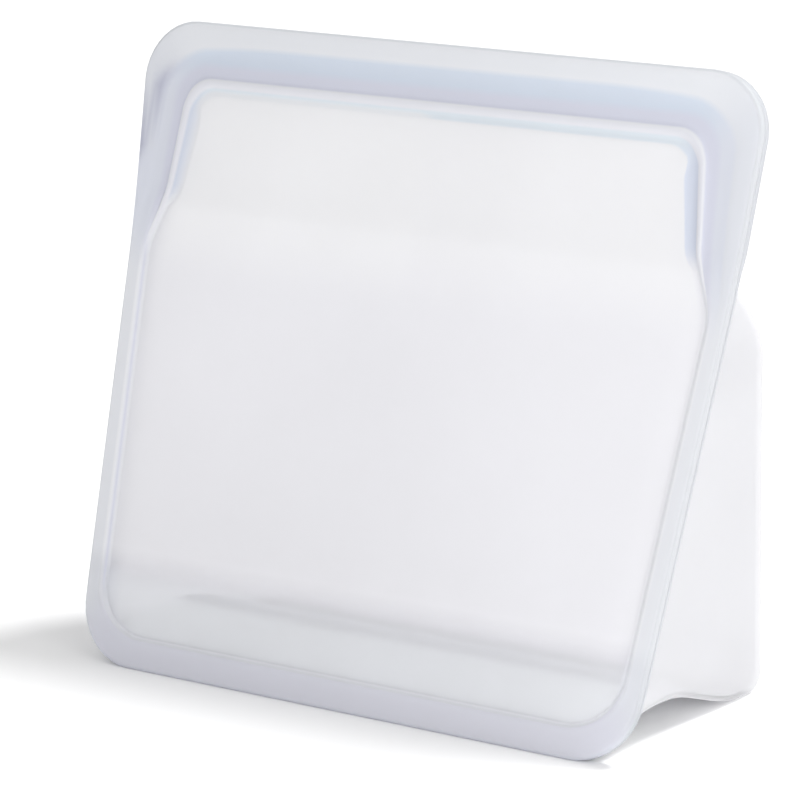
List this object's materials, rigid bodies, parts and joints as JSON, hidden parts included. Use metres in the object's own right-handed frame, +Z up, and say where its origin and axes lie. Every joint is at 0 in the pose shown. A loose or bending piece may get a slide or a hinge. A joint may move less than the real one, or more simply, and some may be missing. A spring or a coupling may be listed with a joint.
{
  "type": "stand-up silicone storage bag",
  "caption": "Stand-up reusable silicone food bag: a flanged front sheet bonded to a gusseted back tray, closed at the mouth by a pinch-press ridge and channel lock.",
  "frame": {"origin": "centre of the footprint, on the surface the bag stands on", "axes": "+X to the bag's right, +Y to its back, +Z up"},
  "size_m": [0.195, 0.081, 0.171],
  "materials": {
    "clear_silicone": "frosted translucent, satin",
    "edge_silicone": "frosted translucent, satin",
    "lock_silicone": "frosted translucent, satin"
  },
  "bodies": {
    "pouch": {"front_panel": "clear_silicone", "front_rim": "edge_silicone", "front_bond_flange": "edge_silicone", "back_lip_flange": "edge_silicone", "back_lip_panel": "clear_silicone", "back_lock_channel": "lock_silicone", "base_gusset": "clear_silicone", "side_gusset_left": "clear_silicone", "side_gusset_right": "clear_silicone"},
    "front_lip": {"front_lip_panel": "clear_silicone", "front_lip_rim": "edge_silicone", "front_lock_band": "lock_silicone", "front_inner_bead": "lock_silicone", "front_lock_ridge": "lock_silicone"},
    "back": {"back_wall": "clear_silicone"}
  },
  "joints": [
    {"name": "mouth_open", "type": "hinge", "parent": "pouch", "child": "front_lip", "pos_m": [0, -0.00286, 0.11919], "axis": [1, 0, 0], "range_deg": [0, 35]},
    {"name": "fold_flat", "type": "hinge", "parent": "pouch", "child": "back", "pos_m": [0, 0.0024, 0.119], "axis": [1, 0, 0], "range_deg": [-29, 0], "deforming": ["base_gusset", "side_gusset_left", "side_gusset_right"]}
  ]
}
